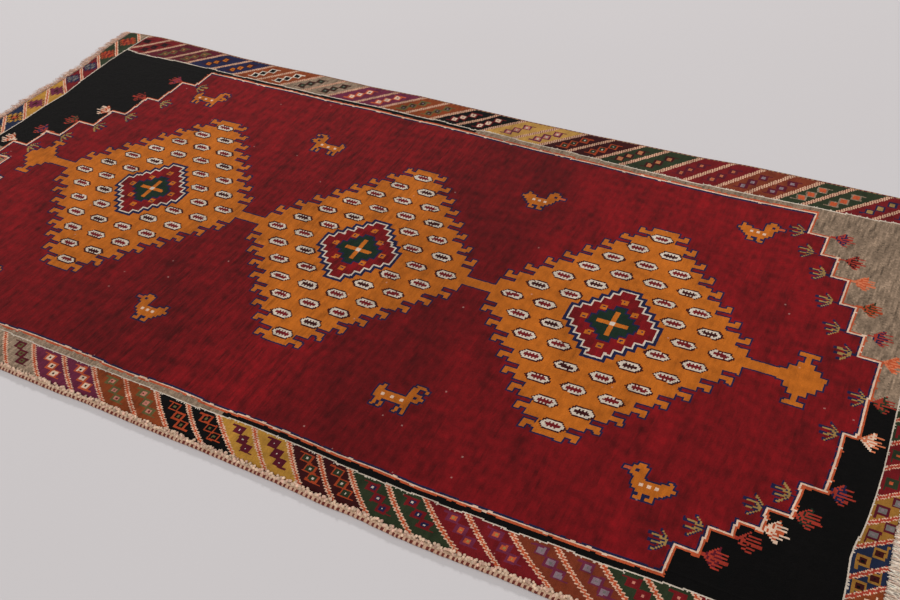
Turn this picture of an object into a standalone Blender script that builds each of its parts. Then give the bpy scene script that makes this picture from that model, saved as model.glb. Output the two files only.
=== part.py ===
# Hand-knotted gabbeh rug lying flat: one pile slab with corded selvedges, and a fringe at each end.
# Metres, +Z up, +X along the rug, origin under the middle of the rug on the floor.
import math
import random

import bmesh
import bpy

# Main sizes
PILE_H = 0.0090            # pile top above the floor
FOUNDATION_H = 0.0045      # height of the bare cloth at an end
PILE_WAVE = 0.0004         # slow rise and fall of the sheared pile
NEAR_CORD_W = 0.0125       # overcast selvedge on the near side
NEAR_CORD_H = 0.0085
FAR_CORD_W = 0.0080        # slimmer selvedge on the far side
FAR_CORD_H = 0.0052
STATIONS = 58              # cross-sections along the rug
PILE_STRIPS = 12           # strips across the pile between its two shoulders
END_ROUND = ((0.0, 0.50), (0.0016, 0.86), (0.0048, 1.0))   # (distance in, share of height) at the ends

# Outline, read off the photo. Every row is one point of an edge.
# near edge: x along the rug, y of the selvedge's outer side
NEAR_EDGE = (
    (-1.170, -0.5960), (-0.900, -0.5990), (-0.640, -0.5975), (-0.449, -0.5983), (-0.301, -0.5984),
    (-0.232, -0.5961), (-0.078, -0.5977), (0.030, -0.5964), (0.203, -0.5988), (0.302, -0.6031),
    (0.357, -0.6015), (0.438, -0.6060), (0.524, -0.6060), (0.624, -0.6029), (0.700, -0.6031),
    (0.930, -0.6005), (1.150, -0.6020),
)
# far edge: x along the rug, y where the pile ends
FAR_EDGE = (
    (-1.170, 0.5950), (-1.047, 0.6030), (-0.892, 0.5970), (-0.758, 0.5885), (-0.629, 0.5865),
    (-0.482, 0.5900), (-0.324, 0.5870), (-0.184, 0.5930), (-0.033, 0.5900), (0.120, 0.5865),
    (0.279, 0.5880), (0.412, 0.5910), (0.554, 0.5935), (0.664, 0.6020), (0.830, 0.6035),
    (0.963, 0.6040), (1.150, 0.6020),
)
# ends: y across the rug, x of the left end, x of the right end
ENDS = (
    (-0.600, -1.1620, 1.1440), (-0.480, -1.1580, 1.1470), (-0.380, -1.1600, 1.1440),
    (-0.290, -1.1660, 1.1385), (-0.180, -1.1640, 1.1365), (-0.060, -1.1600, 1.1375),
    (0.060, -1.1610, 1.1400), (0.176, -1.1595, 1.1420), (0.288, -1.1530, 1.1400),
    (0.392, -1.1490, 1.1375), (0.500, -1.1640, 1.1385), (0.610, -1.1610, 1.1420),
)

# Fringe: name, side, locks, shortest and longest lock, root width, spread of the tips
STRIP_GAP = 0.0004         # between the cloth's end and the strip
STRIP_W = 0.0040
STRIP_H = 0.0034
STRIP_INSET = 0.0075       # strip ends this far inside the long sides
FRINGES = (
    ("fringe_left", -1, 128, 0.014, 0.024, 0.0044, 0.0017, (0.34, 0.20, 0.14), 7),
    ("fringe_right", 1, 128, 0.024, 0.040, 0.0050, 0.0016, (0.62, 0.46, 0.38), 11),
)


def clear_scene():
    for ob in list(bpy.data.objects):
        bpy.data.objects.remove(ob, do_unlink=True)


def plain_material(name, colour, roughness):
    mat = bpy.data.materials.new(name)
    mat.use_nodes = True
    shader = mat.node_tree.nodes["Principled BSDF"]
    shader.inputs["Base Color"].default_value = (*colour, 1.0)
    shader.inputs["Roughness"].default_value = roughness
    shader.inputs["Metallic"].default_value = 0.0
    mat.diffuse_color = (*colour, 1.0)
    return mat


def at(table, key, column=1):
    """Value of a table's column at a key, straight between the rows."""
    for a, b in zip(table, table[1:]):
        if key <= b[0] or b is table[-1]:
            t = (key - a[0]) / (b[0] - a[0])
            t = min(1.0, max(0.0, t))
            return a[column] + t * (b[column] - a[column])
    return table[-1][column]


def cross_section(near, far, along):
    """Top points (y, z) of the rug from the near side to the far side."""
    top = [
        (near + 0.16 * NEAR_CORD_W, 0.80 * NEAR_CORD_H),
        (near + 0.48 * NEAR_CORD_W, NEAR_CORD_H),
        (near + 0.84 * NEAR_CORD_W, 0.80 * NEAR_CORD_H),
        (near + 1.02 * NEAR_CORD_W, 0.60 * NEAR_CORD_H),
        (near + 1.14 * NEAR_CORD_W, 0.92 * PILE_H),
        (near + 1.36 * NEAR_CORD_W, PILE_H),
    ]
    first, last = top[-1][0], far - 0.0030
    for i in range(1, PILE_STRIPS):
        y = first + (last - first) * i / PILE_STRIPS
        wave = math.sin(2.9 * along + 1.7 * y) + 0.6 * math.sin(7.1 * along - 4.3 * y + 1.0)
        top.append((y, PILE_H + PILE_WAVE * wave / 1.6))
    top += [
        (far - 0.0030, PILE_H),
        (far - 0.0004, 0.88 * PILE_H),
        (far + 0.12 * FAR_CORD_W, 0.78 * FAR_CORD_H),
        (far + 0.45 * FAR_CORD_W, FAR_CORD_H),
        (far + 0.86 * FAR_CORD_W, 0.68 * FAR_CORD_H),
    ]
    return top


def end_x(side, y):
    return at(ENDS, y, 1 if side < 0 else 2)


def end_line(side):
    """The end of the cloth as it is built: rows of (y, x) from the near side to the far side."""
    middle = end_x(side, 0.0)
    points = cross_section(at(NEAR_EDGE, middle), at(FAR_EDGE, middle), middle)
    return [(y, end_x(side, y)) for y, z in points]


def station_list():
    """Share along the rug, distance in from the nearer end and share of height, for every cross-section."""
    rows = [(0.0, d, h) for d, h in END_ROUND]
    rows += [(i / STATIONS, 0.0, 1.0) for i in range(1, STATIONS)]
    rows += [(1.0, d, h) for d, h in reversed(END_ROUND)]
    return rows


def build_rug():
    bm = bmesh.new()
    rings = []
    for share, inset, height in station_list():
        guess = end_x(-1, 0.0) + share * (end_x(1, 0.0) - end_x(-1, 0.0))
        near, far = at(NEAR_EDGE, guess), at(FAR_EDGE, guess)
        shift = inset if share == 0.0 else -inset

        def place(y, z):
            left, right = end_x(-1, y), end_x(1, y)
            return bm.verts.new((left + share * (right - left) + shift, y, z * height))

        top_points = cross_section(near, far, guess)
        ring = [place(near, 0.42 * NEAR_CORD_H)]
        ring += [place(y, z) for y, z in top_points]
        ring += [place(far + FAR_CORD_W, 0.40 * FAR_CORD_H)]
        ring += [place(y, 0.0) for y, z in reversed(top_points)]
        rings.append(ring)
    count = len(rings[0])
    for a, b in zip(rings, rings[1:]):
        for i in range(count):
            j = (i + 1) % count
            bm.faces.new((a[i], a[j], b[j], b[i]))
    tops = (count - 2) // 2
    for ring, flip in ((rings[0], False), (rings[-1], True)):
        rows = [(ring[1 + i], ring[count - 1 - i]) for i in range(tops)]
        faces = [(ring[0], rows[0][1], rows[0][0])]
        faces += [(a[0], a[1], b[1], b[0]) for a, b in zip(rows, rows[1:])]
        faces += [(rows[-1][0], rows[-1][1], ring[1 + tops])]
        for face in faces:
            bm.faces.new(tuple(reversed(face)) if flip else face)
    return finish_mesh(bm, "rug", plain_material("wool_pile", (0.17, 0.018, 0.016), 0.95))


def strip_rows(side, locks, root_w):
    """Positions across the rug: each lock's root from one edge to the other, and the ends of the strip."""
    x = 1.14 * side
    low = at(NEAR_EDGE, x) + STRIP_INSET
    high = at(FAR_EDGE, x) + FAR_CORD_W - STRIP_INSET
    pitch = (high - low) / locks
    rows = [low]
    for i in range(locks):
        mid = low + (i + 0.5) * pitch
        rows += [mid - root_w / 2, mid + root_w / 2]
    return rows + [high]


def build_fringe(name, side, locks, short, long, root_w, spread, colour, seed):
    rng = random.Random(seed)
    bm = bmesh.new()
    sections = []
    cloth_end = end_line(side)
    for y in strip_rows(side, locks, root_w):
        inner = at(cloth_end, y) + side * STRIP_GAP
        outer = inner + side * STRIP_W
        sections.append([
            bm.verts.new((inner, y, 0.0)), bm.verts.new((inner, y, STRIP_H)),
            bm.verts.new((outer, y, STRIP_H)), bm.verts.new((outer, y, 0.0)),
        ])
    for k, (a, b) in enumerate(zip(sections, sections[1:])):
        is_root = k % 2 == 1
        for i in range(4):
            j = (i + 1) % 4
            if is_root and i == 2:
                continue
            bm.faces.new((a[i], a[j], b[j], b[i]))
        if is_root:
            add_lock(bm, (a[2], b[2], b[3], a[3]), side, rng, short, long, root_w, spread)
    bm.faces.new(sections[0])
    bm.faces.new(tuple(reversed(sections[-1])))
    return finish_mesh(bm, name, plain_material(name.replace("fringe", "warp_ends"), colour, 0.95))


def add_lock(bm, root, side, rng, short, long, root_w, spread):
    """A lock of loose yarn from a root face, level on the floor, thinner and lower towards its tip."""
    start_x = root[0].co.x
    mid_y = (root[0].co.y + root[1].co.y) / 2
    length = rng.uniform(short, long)
    lean = rng.uniform(-spread, spread)
    ring = list(root)
    # share of the length, share of the root's width, height, share of the lean
    for share, width, height, swing in ((0.50, 0.92, 0.0030, 0.35), (1.0, 0.26, 0.0009, 1.0)):
        x = start_x + side * length * share
        y = mid_y + lean * swing
        half = root_w * width / 2
        new = [bm.verts.new((x, y - half, height)), bm.verts.new((x, y + half, height)),
               bm.verts.new((x, y + half, 0.0)), bm.verts.new((x, y - half, 0.0))]
        for i in range(4):
            j = (i + 1) % 4
            bm.faces.new((ring[i], ring[j], new[j], new[i]))
        ring = new
    bm.faces.new(ring)


def finish_mesh(bm, name, mat):
    bmesh.ops.recalc_face_normals(bm, faces=bm.faces)
    bmesh.ops.triangulate(bm, faces=[f for f in bm.faces if len(f.verts) > 3])
    if bm.calc_volume(signed=True) < 0:
        bmesh.ops.reverse_faces(bm, faces=bm.faces)
    mesh = bpy.data.meshes.new(name)
    bm.to_mesh(mesh)
    bm.free()
    mesh.materials.append(mat)
    ob = bpy.data.objects.new(name, mesh)
    bpy.context.scene.collection.objects.link(ob)
    return ob


def centre_on_origin(objects):
    """Slides the whole rug so that its box is centred over the origin."""
    points = [v.co for ob in objects for v in ob.data.vertices]
    mid_x = (min(p.x for p in points) + max(p.x for p in points)) / 2
    mid_y = (min(p.y for p in points) + max(p.y for p in points)) / 2
    for ob in objects:
        for v in ob.data.vertices:
            v.co.x -= mid_x
            v.co.y -= mid_y
        ob.data.update()
    return mid_x, mid_y


def main():
    clear_scene()
    objects = [build_rug()]
    objects += [build_fringe(*row) for row in FRINGES]
    moved = centre_on_origin(objects)
    total = 0
    for ob in objects:
        total += len(ob.data.polygons)
        print(ob.name, len(ob.data.polygons), "triangles, size", [round(v, 4) for v in ob.dimensions])
    print("triangles in all", total, "centred by", [round(v, 5) for v in moved])


if __name__ == "__main__":
    main()
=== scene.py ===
# %% [markdown]
# # A hand-knotted gabbeh rug on a pale floor
# The real rug is thousands of short wool knots tied round warps, sheared level, with flat woven
# sides that are overcast with yarn, and loose warps at both ends. In Blender the knots can be a
# picture on a plane, hair, or real small faces. Here every face of a fine grid stands for a knot,
# with its own dye, because the stepped edges of such a pattern come from the knots themselves.

# %% Load the fixed frame
import math

import bpy
import numpy as np
from mathutils import Matrix, Vector


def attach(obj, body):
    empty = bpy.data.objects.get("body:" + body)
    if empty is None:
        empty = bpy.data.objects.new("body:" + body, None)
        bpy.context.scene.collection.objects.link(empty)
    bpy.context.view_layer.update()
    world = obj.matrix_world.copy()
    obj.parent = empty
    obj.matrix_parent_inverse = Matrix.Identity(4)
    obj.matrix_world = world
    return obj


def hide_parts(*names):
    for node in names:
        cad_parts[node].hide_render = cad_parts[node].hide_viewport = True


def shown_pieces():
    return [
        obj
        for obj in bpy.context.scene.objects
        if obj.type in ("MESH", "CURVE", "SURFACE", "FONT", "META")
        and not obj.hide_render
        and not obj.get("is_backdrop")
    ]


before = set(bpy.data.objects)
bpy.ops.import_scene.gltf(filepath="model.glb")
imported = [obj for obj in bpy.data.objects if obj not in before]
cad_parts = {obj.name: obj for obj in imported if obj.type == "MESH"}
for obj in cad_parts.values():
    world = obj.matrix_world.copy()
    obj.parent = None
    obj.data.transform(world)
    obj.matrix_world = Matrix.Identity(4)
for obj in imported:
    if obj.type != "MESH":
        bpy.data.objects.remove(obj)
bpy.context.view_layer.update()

bpy.ops.object.select_all(action="DESELECT")
MM = 0.001

# %% [markdown]
# ## Camera
# The photograph looks down on a long rug from its near right side. A camera can be placed by eye,
# or worked out from straight edges of known shape. Its place, its three directions and its lens
# were worked out from the border lines, so the lines of the rug fall where the photograph has them.

# %% Camera
camera = bpy.data.objects.new("camera", bpy.data.cameras.new("camera"))
camera.data.sensor_width = 36.0
camera.data.lens = 41.207
to_right = Vector((0.88147, 0.46783, -0.06435))
to_bottom = Vector((0.26766, -0.60720, -0.74811))
ahead = Vector((-0.38906, 0.64222, -0.66045))
eye = Vector((1.0535, -1.3882, 1.3572))
columns = (to_right, -to_bottom, -ahead, eye)
camera.matrix_world = Matrix([[c[i] for c in columns] for i in range(3)] + [[0, 0, 0, 1]])
camera.data.clip_start, camera.data.clip_end = 0.05, 60.0
scene = bpy.context.scene
scene.collection.objects.link(camera)
scene.camera = camera
scene.view_settings.view_transform = "Standard"
print("camera", round(camera.data.lens, 1), "mm at", [round(v, 2) for v in eye])

# %% [markdown]
# ## Helpers for colours and nodes
# Dyes are picked as sRGB hex values, the way a screen shows them, while Blender mixes light in
# linear values, so one function turns one into the other. A second small function adds a shader
# node with its settings and links, which keeps every material readable as a list of steps.

# %% Colour and node helpers
def linear(hex_colour):
    """Linear red, green and blue of an sRGB hex colour."""
    parts = [int(hex_colour[i:i + 2], 16) / 255 for i in (1, 3, 5)]
    return tuple(p / 12.92 if p <= 0.04045 else ((p + 0.055) / 1.055) ** 2.4 for p in parts)


def add_node(material, kind, settings=None, **inputs):
    """One shader node. settings are its properties; inputs are values, or sockets to link from."""
    node = material.node_tree.nodes.new("ShaderNode" + kind)
    for key, value in (settings or {}).items():
        setattr(node, key, value)
    for key, value in inputs.items():
        key = key.replace("_", " ")
        socket = node.inputs[int(key[1:]) if key[:1] == "n" and key[1:].isdigit() else key]
        if isinstance(value, bpy.types.NodeSocket):
            material.node_tree.links.new(value, socket)
        else:
            socket.default_value = value
    return node


def new_material(name):
    """An empty node material with its surface shader."""
    material = bpy.data.materials.new(name)
    material.use_nodes = True
    return material, material.node_tree.nodes["Principled BSDF"]


def join(material, source, shader, socket):
    material.node_tree.links.new(source, shader.inputs[socket])


# %% [markdown]
# ## Floor and light
# The rug lies on a matt pale studio floor under soft light. Most of the light is a broad fill from
# over the camera, with a pale sky all round. One low lamp beyond the far left corner gives the near
# edge its faint even shadow, about twice as wide as the rug is thick.

# %% Floor
FLOOR_GAP = 0.4 * MM
bpy.ops.mesh.primitive_plane_add(size=16.0, location=(0, 0, -FLOOR_GAP))
floor = bpy.context.object
floor.name = "floor"
bpy.ops.object.transform_apply(location=True)
painted, shader = new_material("matt_painted_floor")
shader.inputs["Roughness"].default_value = 0.9
shader.inputs["Specular IOR Level"].default_value = 0.1
coords = add_node(painted, "TexCoord")
drift = add_node(painted, "TexNoise", Vector=coords.outputs["Object"], Scale=0.6, Detail=3.0)
tone = add_node(painted, "ValToRGB", Fac=drift.outputs["Fac"])
tone.color_ramp.elements[0].color = (*linear("#C3BFC0"), 1)
tone.color_ramp.elements[1].color = (*linear("#C9C5C6"), 1)
join(painted, tone.outputs["Color"], shader, "Base Color")
floor.data.materials.append(painted)
floor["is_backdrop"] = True

# %% Light
WARM_WHITE = (1.0, 0.985, 0.975)
sky = bpy.data.worlds.new("soft_sky")
sky.use_nodes = True
background = sky.node_tree.nodes["Background"]
background.inputs["Color"].default_value = (*WARM_WHITE, 1)
background.inputs["Strength"].default_value = 0.24
scene.world = sky


def add_lamp(name, kind, energy, heading):
    """A lamp of a kind that shines along a heading."""
    lamp = bpy.data.objects.new(name, bpy.data.lights.new(name, kind))
    lamp.data.energy = energy
    lamp.rotation_mode = "QUATERNION"
    lamp.rotation_quaternion = heading.to_track_quat("-Z", "Y")
    scene.collection.objects.link(lamp)
    return lamp


KEY_PLACE, KEY_AIM = Vector((-7.0, 11.0, 7.0)), Vector((0.1, 0, 0))
key_lamp = add_lamp("key_lamp", "AREA", 1120, KEY_AIM - KEY_PLACE)
key_lamp.location = KEY_PLACE
key_lamp.data.size = 1.6
fill_lamp = add_lamp("fill_lamp", "SUN", 2.28, Vector((-0.25, 0.55, -0.80)))
fill_lamp.data.angle = 0.9
fill_lamp.data.color = WARM_WHITE
print("floor 16 m, one low lamp of", key_lamp.data.energy, "W and a broad fill over the camera")

# %% [markdown]
# ## The rug's lines
# A hand-knotted rug is never quite straight: its sides wander by a centimetre. Each line below is
# a few points along an edge or a border line, in metres, and what lies between is read straight
# across. The outer edges are the ones that the CAD solids use.

# %% Edges and border lines
CAD_SHIFT_X, CAD_SHIFT_Y = 0.00122, -0.00296
PILE_H, PILE_WAVE = 9.0 * MM, 0.4 * MM
NEAR_CORD_W, NEAR_CORD_H = 12.5 * MM, 8.5 * MM
FAR_CORD_W, FAR_CORD_H = 8.0 * MM, 5.2 * MM

NEAR_EDGE = (
    (-1.170, -0.5960), (-0.900, -0.5990), (-0.640, -0.5975), (-0.449, -0.5983), (-0.301, -0.5984),
    (-0.232, -0.5961), (-0.078, -0.5977), (0.030, -0.5964), (0.203, -0.5988), (0.302, -0.6031),
    (0.357, -0.6015), (0.438, -0.6060), (0.524, -0.6060), (0.624, -0.6029), (0.700, -0.6031),
    (0.930, -0.6005), (1.150, -0.6020),
)
FAR_EDGE = (
    (-1.170, 0.5950), (-1.047, 0.6030), (-0.892, 0.5970), (-0.758, 0.5885), (-0.629, 0.5865),
    (-0.482, 0.5900), (-0.324, 0.5870), (-0.184, 0.5930), (-0.033, 0.5900), (0.120, 0.5865),
    (0.279, 0.5880), (0.412, 0.5910), (0.554, 0.5935), (0.664, 0.6020), (0.830, 0.6035),
    (0.963, 0.6040), (1.150, 0.6020),
)
ENDS = (
    (-0.600, -1.1620, 1.1440), (-0.480, -1.1580, 1.1470), (-0.380, -1.1600, 1.1440),
    (-0.290, -1.1660, 1.1385), (-0.180, -1.1640, 1.1365), (-0.060, -1.1600, 1.1375),
    (0.060, -1.1610, 1.1400), (0.176, -1.1595, 1.1420), (0.288, -1.1530, 1.1400),
    (0.392, -1.1490, 1.1375), (0.500, -1.1640, 1.1385), (0.610, -1.1610, 1.1420),
)
NEAR_WHITE = (
    (-1.10, -0.521), (-0.529, -0.520), (-0.400, -0.5225), (-0.300, -0.5225), (-0.200, -0.5205),
    (-0.100, -0.5215), (0.000, -0.5220), (0.050, -0.5190), (0.100, -0.5175), (0.150, -0.5175),
    (0.200, -0.5190), (0.250, -0.5215), (0.300, -0.5255), (0.400, -0.5265), (0.500, -0.5250),
    (0.550, -0.5230), (0.605, -0.5245), (0.681, -0.5190), (0.757, -0.5190), (0.825, -0.5130),
    (0.899, -0.5070), (1.10, -0.508),
)
FAR_WHITE = (
    (-1.10, 0.5100), (-1.060, 0.5030), (-1.000, 0.5015), (-0.950, 0.5045), (-0.850, 0.5065),
    (-0.780, 0.5060), (-0.700, 0.5025), (-0.600, 0.5035), (-0.450, 0.5010), (-0.350, 0.5035),
    (-0.250, 0.5060), (-0.150, 0.5040), (-0.070, 0.5065), (0.020, 0.5010), (0.050, 0.5065),
    (0.120, 0.5030), (0.200, 0.4995), (0.300, 0.4985), (0.400, 0.4945), (0.550, 0.4915),
    (0.650, 0.4935), (0.750, 0.4985), (0.850, 0.5035), (0.950, 0.5060), (1.000, 0.5120),
    (1.100, 0.5150),
)
LEFT_WHITE = (
    (-0.60, -1.098), (0.02, -1.099), (0.09, -1.094), (0.17, -1.094), (0.24, -1.087),
    (0.31, -1.094), (0.39, -1.097), (0.47, -1.100), (0.60, -1.092),
)
RIGHT_WHITE = (
    (-0.60, 1.093), (-0.42, 1.093), (-0.39, 1.091), (-0.35, 1.087), (-0.33, 1.088),
    (-0.275, 1.094), (-0.22, 1.097), (-0.16, 1.098), (-0.10, 1.096), (0.005, 1.092), (0.60, 1.092),
)
NEAR_GUARD = (
    (-0.78, -0.5040), (-0.545, -0.5070), (-0.450, -0.5040), (-0.350, -0.5035), (-0.200, -0.5055),
    (-0.100, -0.5025), (0.000, -0.5050), (0.100, -0.5030), (0.200, -0.5050), (0.270, -0.5080),
    (0.350, -0.5075), (0.430, -0.5105), (0.520, -0.5075), (0.620, -0.5045), (0.758, -0.5000),
    (0.840, -0.4950),
)
FAR_GUARD = (
    (-0.771, 0.4830), (-0.680, 0.4835), (-0.600, 0.4810), (-0.500, 0.4835), (-0.400, 0.4805),
    (-0.260, 0.4845), (-0.150, 0.4815), (-0.070, 0.4830), (0.020, 0.4810), (0.100, 0.4775),
    (0.200, 0.4735), (0.350, 0.4745), (0.450, 0.4715), (0.650, 0.4710), (0.750, 0.4750),
    (0.845, 0.4810),
)


def read(table, key, column=1):
    """Value of a line at a key, straight between its points."""
    rows = np.array(table)
    return np.interp(key, rows[:, 0], rows[:, column])


def near_edge(x):
    return read(NEAR_EDGE, x - CAD_SHIFT_X) + CAD_SHIFT_Y


def far_edge(x):
    return read(FAR_EDGE, x - CAD_SHIFT_X) + CAD_SHIFT_Y


def left_end(y):
    return read(ENDS, y - CAD_SHIFT_Y, 1) + CAD_SHIFT_X


def right_end(y):
    return read(ENDS, y - CAD_SHIFT_Y, 2) + CAD_SHIFT_X


# %% Where the pile ends
PILE_IN = 1.08 * NEAR_CORD_W           # from the outer side of the near cord
FAR_RIM_IN, END_RIM_IN = 0.2 * MM, 0.3 * MM


def near_pile(x):
    return near_edge(x) + PILE_IN


def far_pile(x):
    return far_edge(x) - FAR_RIM_IN


def left_pile(y):
    return left_end(y) + END_RIM_IN


def right_pile(y):
    return right_end(y) - END_RIM_IN


# distance in from the rim and share of the pile's height there, at the sides and at the ends
SIDE_RIM = ((0, 0.66), (1.5 * MM, 0.90), (4.5 * MM, 1.0))
END_RIM = ((0, 0.55), (1.6 * MM, 0.86), (4.8 * MM, 1.0))


def pile_height(x, y):
    """Top of the pile: slow waves of the shearing, and a rounded rim all round the rug."""
    wave = np.sin(2.9 * x + 1.7 * y) + 0.6 * np.sin(7.1 * x - 4.3 * y + 1.0)
    side = np.minimum(y - near_pile(x), far_pile(x) - y)
    end = np.minimum(x - left_pile(y), right_pile(y) - x)
    return (PILE_H + PILE_WAVE * wave / 1.6) * read(SIDE_RIM, side) * read(END_RIM, end)


print("rug", round(float(right_end(0) - left_end(0)), 3), "m long,",
      round(float(far_edge(0) + FAR_CORD_W - near_edge(0)), 3), "m wide")

# %% [markdown]
# ## The dyes
# The wool is dyed in small lots: madder reds, indigo, weld yellow, and undyed sheep's colours for
# the brown-black and grey grounds. Every dye is one named hex value, and the chart below only
# speaks of them by name.

# %% Dyes
DYES = {
    "field red": "#681014", "black": "#080707", "grey": "#7F6B59", "gold": "#A95B1A", "navy": "#1B1C3A",
    "cream": "#CDAE97", "white": "#BDAF9F", "orange": "#AA4B2B", "burnt orange": "#963A1E",
    "shell": "#C8A188", "dusty shell": "#C0987C", "tan": "#A06040", "maroon": "#340F10",
    "wine": "#501420", "crimson": "#651418", "purple": "#612338", "lilac": "#7A656C", "rust": "#78371A",
    "brown": "#6C2E1C", "ochre": "#A2752F", "pale ochre": "#AC8242", "dark ochre": "#8A6028",
    "green": "#272F1E", "olive": "#57502F", "blue": "#1B2339", "pink": "#B0705F",
    "dark green": "#16261C", "slate": "#66605C", "old gold": "#8E7040", "petal red": "#8E2E22",
    "salmon": "#BE6A48", "brick": "#9A3828",
}
DYE_NAMES = list(DYES)
DYE_LIGHT = np.array([linear(h) for h in DYES.values()])


def dye(name):
    return DYE_NAMES.index(name)


print(len(DYES), "dyes")

# %% [markdown]
# ## The stepped field
# The red field ends in stairs, and three thin lines run round it: navy inside, cream, and orange
# outside, all with uneven edges. A weaver counts knots from the edge. The chart does the same: for
# every knot it is asked how many knots it lies from the edge of the field, and the lines are rings
# of that count, so they keep their width round every step.

# %% Stairs
# x of an upright, and the y where it starts and ends
STAIRS_RIGHT = (
    (0.842, 0.480, 0.409), (0.880, 0.409, 0.349), (0.916, 0.349, 0.288), (0.947, 0.288, 0.214),
    (0.976, 0.214, 0.143), (1.007, 0.143, 0.086), (1.045, 0.086, -0.110), (1.025, -0.110, -0.244),
    (0.988, -0.244, -0.314), (0.952, -0.314, -0.354), (0.916, -0.354, -0.387),
    (0.880, -0.387, -0.440), (0.843, -0.440, -0.495),
)
STAIRS_LEFT = (
    (-0.774, 0.487, 0.413), (-0.818, 0.413, 0.311), (-0.855, 0.311, 0.223), (-0.898, 0.223, 0.150),
    (-0.946, 0.150, 0.081), (-0.992, 0.081, 0.013), (-1.040, 0.013, -0.050),
    (-0.992, -0.050, -0.120), (-0.945, -0.120, -0.190), (-0.898, -0.190, -0.265),
    (-0.855, -0.265, -0.350), (-0.818, -0.350, -0.450), (-0.774, -0.450, -0.502),
)


def stair_x(stairs, y):
    """Where the field ends at each y."""
    turns = np.array([row[2] for row in stairs[:-1]])
    return np.array([row[0] for row in stairs])[(y[..., None] < turns).sum(-1)]


def in_field(x, y, margin):
    """Whether places are in the stepped field, drawn a little larger by a margin."""
    inside = (y > read(NEAR_GUARD, x) - margin) & (y < read(FAR_GUARD, x) + margin)
    left, right = ([stair_x(stairs, y + by) for by in (-margin, margin)]
                   for stairs in (STAIRS_LEFT, STAIRS_RIGHT))
    return inside & (x > np.minimum(*left) - margin) & (x < np.maximum(*right) + margin)


# %% Counting knots from an edge
def grown(mask):
    """A mask and the knots round it."""
    tall = mask.copy()
    tall[1:] |= mask[:-1]
    tall[:-1] |= mask[1:]
    wide = tall.copy()
    wide[:, 1:] |= tall[:, :-1]
    wide[:, :-1] |= tall[:, 1:]
    return wide


def rings(mask, reach):
    """Count of knots from the edge of a mask: 0, -1, -2 going in, and 1, 2 going out."""
    ring = np.full(mask.shape, 99)
    outer, inner = mask, ~mask
    for k in range(reach):
        wider, deeper = grown(outer), grown(inner)
        ring[wider & ~outer] = k + 1
        ring[deeper & ~inner] = -k
        outer, inner = wider, deeper
    return ring


# %% Guard lines
GUARD_OUT = 1.0 * MM         # the guard lines are counted from this far outside the field
FINE_CHART = 3 * MM          # a chart with smaller knots than this shows ragged guard lines
DASH = 4                     # the ragged places are dashes of this many knots


def lay_guard_lines(chart, x, y, knot):
    """Navy inside, cream, and orange outside, round the field, each with uneven edges."""
    ring = rings(in_field(x, y, GUARD_OUT), 3)
    rows, cols = x.shape
    chance = np.random.default_rng(77).random((rows, cols // DASH + 1))
    chance = np.repeat(chance, DASH, 1)[:, :cols]
    fine = knot < FINE_CHART
    chart[(ring == 1) | (ring == 2) & (chance < (0.75 if fine else 0.04))] = dye("orange")
    chart[(ring == (-2 if fine else -1)) & (chance < 0.85)] = dye("navy")
    if fine:
        chart[ring == -1] = np.where(chance < 0.12, dye("cream"), dye("navy"))[ring == -1]
    chart[(ring == 0) | (ring == 1) & (chance > 0.94)] = dye("cream")


# %% [markdown]
# ## Border bands
# All four borders are rows of slanting bands in pairs of one colour. The line that parts them
# differs from side to side: toothed, roped, slashed or plain. Most bands hold a slanting chain of
# small linked squares, and those of the left border hold toothed lozenges. One function draws any
# border from its own measures: how far along, how far out, and the list of dividing lines.

# %% Band colours and dividing lines
# ground, outline of the squares, their fill, their centre, outline width and centre size in mm
NEAR_DYES = (
    ("wine", "burnt orange", "black", "orange", 4.0, 2.3),
    ("crimson", "olive", "crimson", "gold", 4.0, 2.3), ("navy", "maroon", "gold", "navy", 4.0, 2.3),
    ("rust", "white", "black", "orange", 4.0, 2.3), ("grey", "wine", "olive", "wine", 5.0, 2.3),
    ("purple", "orange", "cream", "black", 3.8, 2.3), ("rust", "olive", "pink", "crimson", 5.2, 1.8),
    ("black", "burnt orange", "black", "olive", 3.4, 2.4), ("ochre", "wine", "wine", "white", 5.0, 1.6),
    ("maroon", "burnt orange", "green", "white", 3.6, 1.8),
    ("green", "crimson", "navy", "white", 5.6, 1.8),
    ("crimson", "purple", "orange", "old gold", 5.2, 2.0),
    ("brown", "purple", "lilac", "slate", 4.0, 1.8), ("green", "crimson", "crimson", "pink", 5.0, 2.4),
    ("crimson", "navy", "ochre", "orange", 4.0, 2.3),
)
FAR_DYES = (
    ("crimson", "maroon", "black", "wine", 4.0, 2.3),
    ("wine", "olive", "crimson", "old gold", 4.4, 3.2), ("navy", "maroon", "gold", "maroon", 4.0, 1.8),
    ("rust", "white", "black", "black", 3.6, 2.3), ("grey", "maroon", "green", "slate", 4.4, 2.3),
    ("purple", "orange", "cream", "maroon", 4.2, 2.0), ("rust", "olive", "maroon", "slate", 4.6, 2.6),
    ("black", "crimson", "cream", "maroon", 4.0, 1.8),
    ("pale ochre", "purple", "pink", "white", 4.0, 2.4),
    ("maroon", "burnt orange", "green", "white", 4.0, 1.8),
    ("green", "maroon", "tan", "old gold", 5.0, 1.8), ("crimson", "wine", "tan", "orange", 6.6, 2.0),
    ("brown", "wine", "lilac", "slate", 6.0, 1.8), ("green", "grey", "orange", "orange", 3.6, 2.3),
    ("crimson", "navy", "old gold", "old gold", 4.2, 2.3),
)
NEAR_BANDS = (-1.118, -1.042, -0.966, -0.890, -0.814, -0.738, -0.662, -0.586, -0.510, -0.432,
              -0.351, -0.275, -0.196, -0.120, -0.045, 0.024, 0.101, 0.177, 0.241, 0.306, 0.381,
              0.452, 0.528, 0.605, 0.681, 0.757, 0.825, 0.896, 0.970, 1.046)
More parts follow.
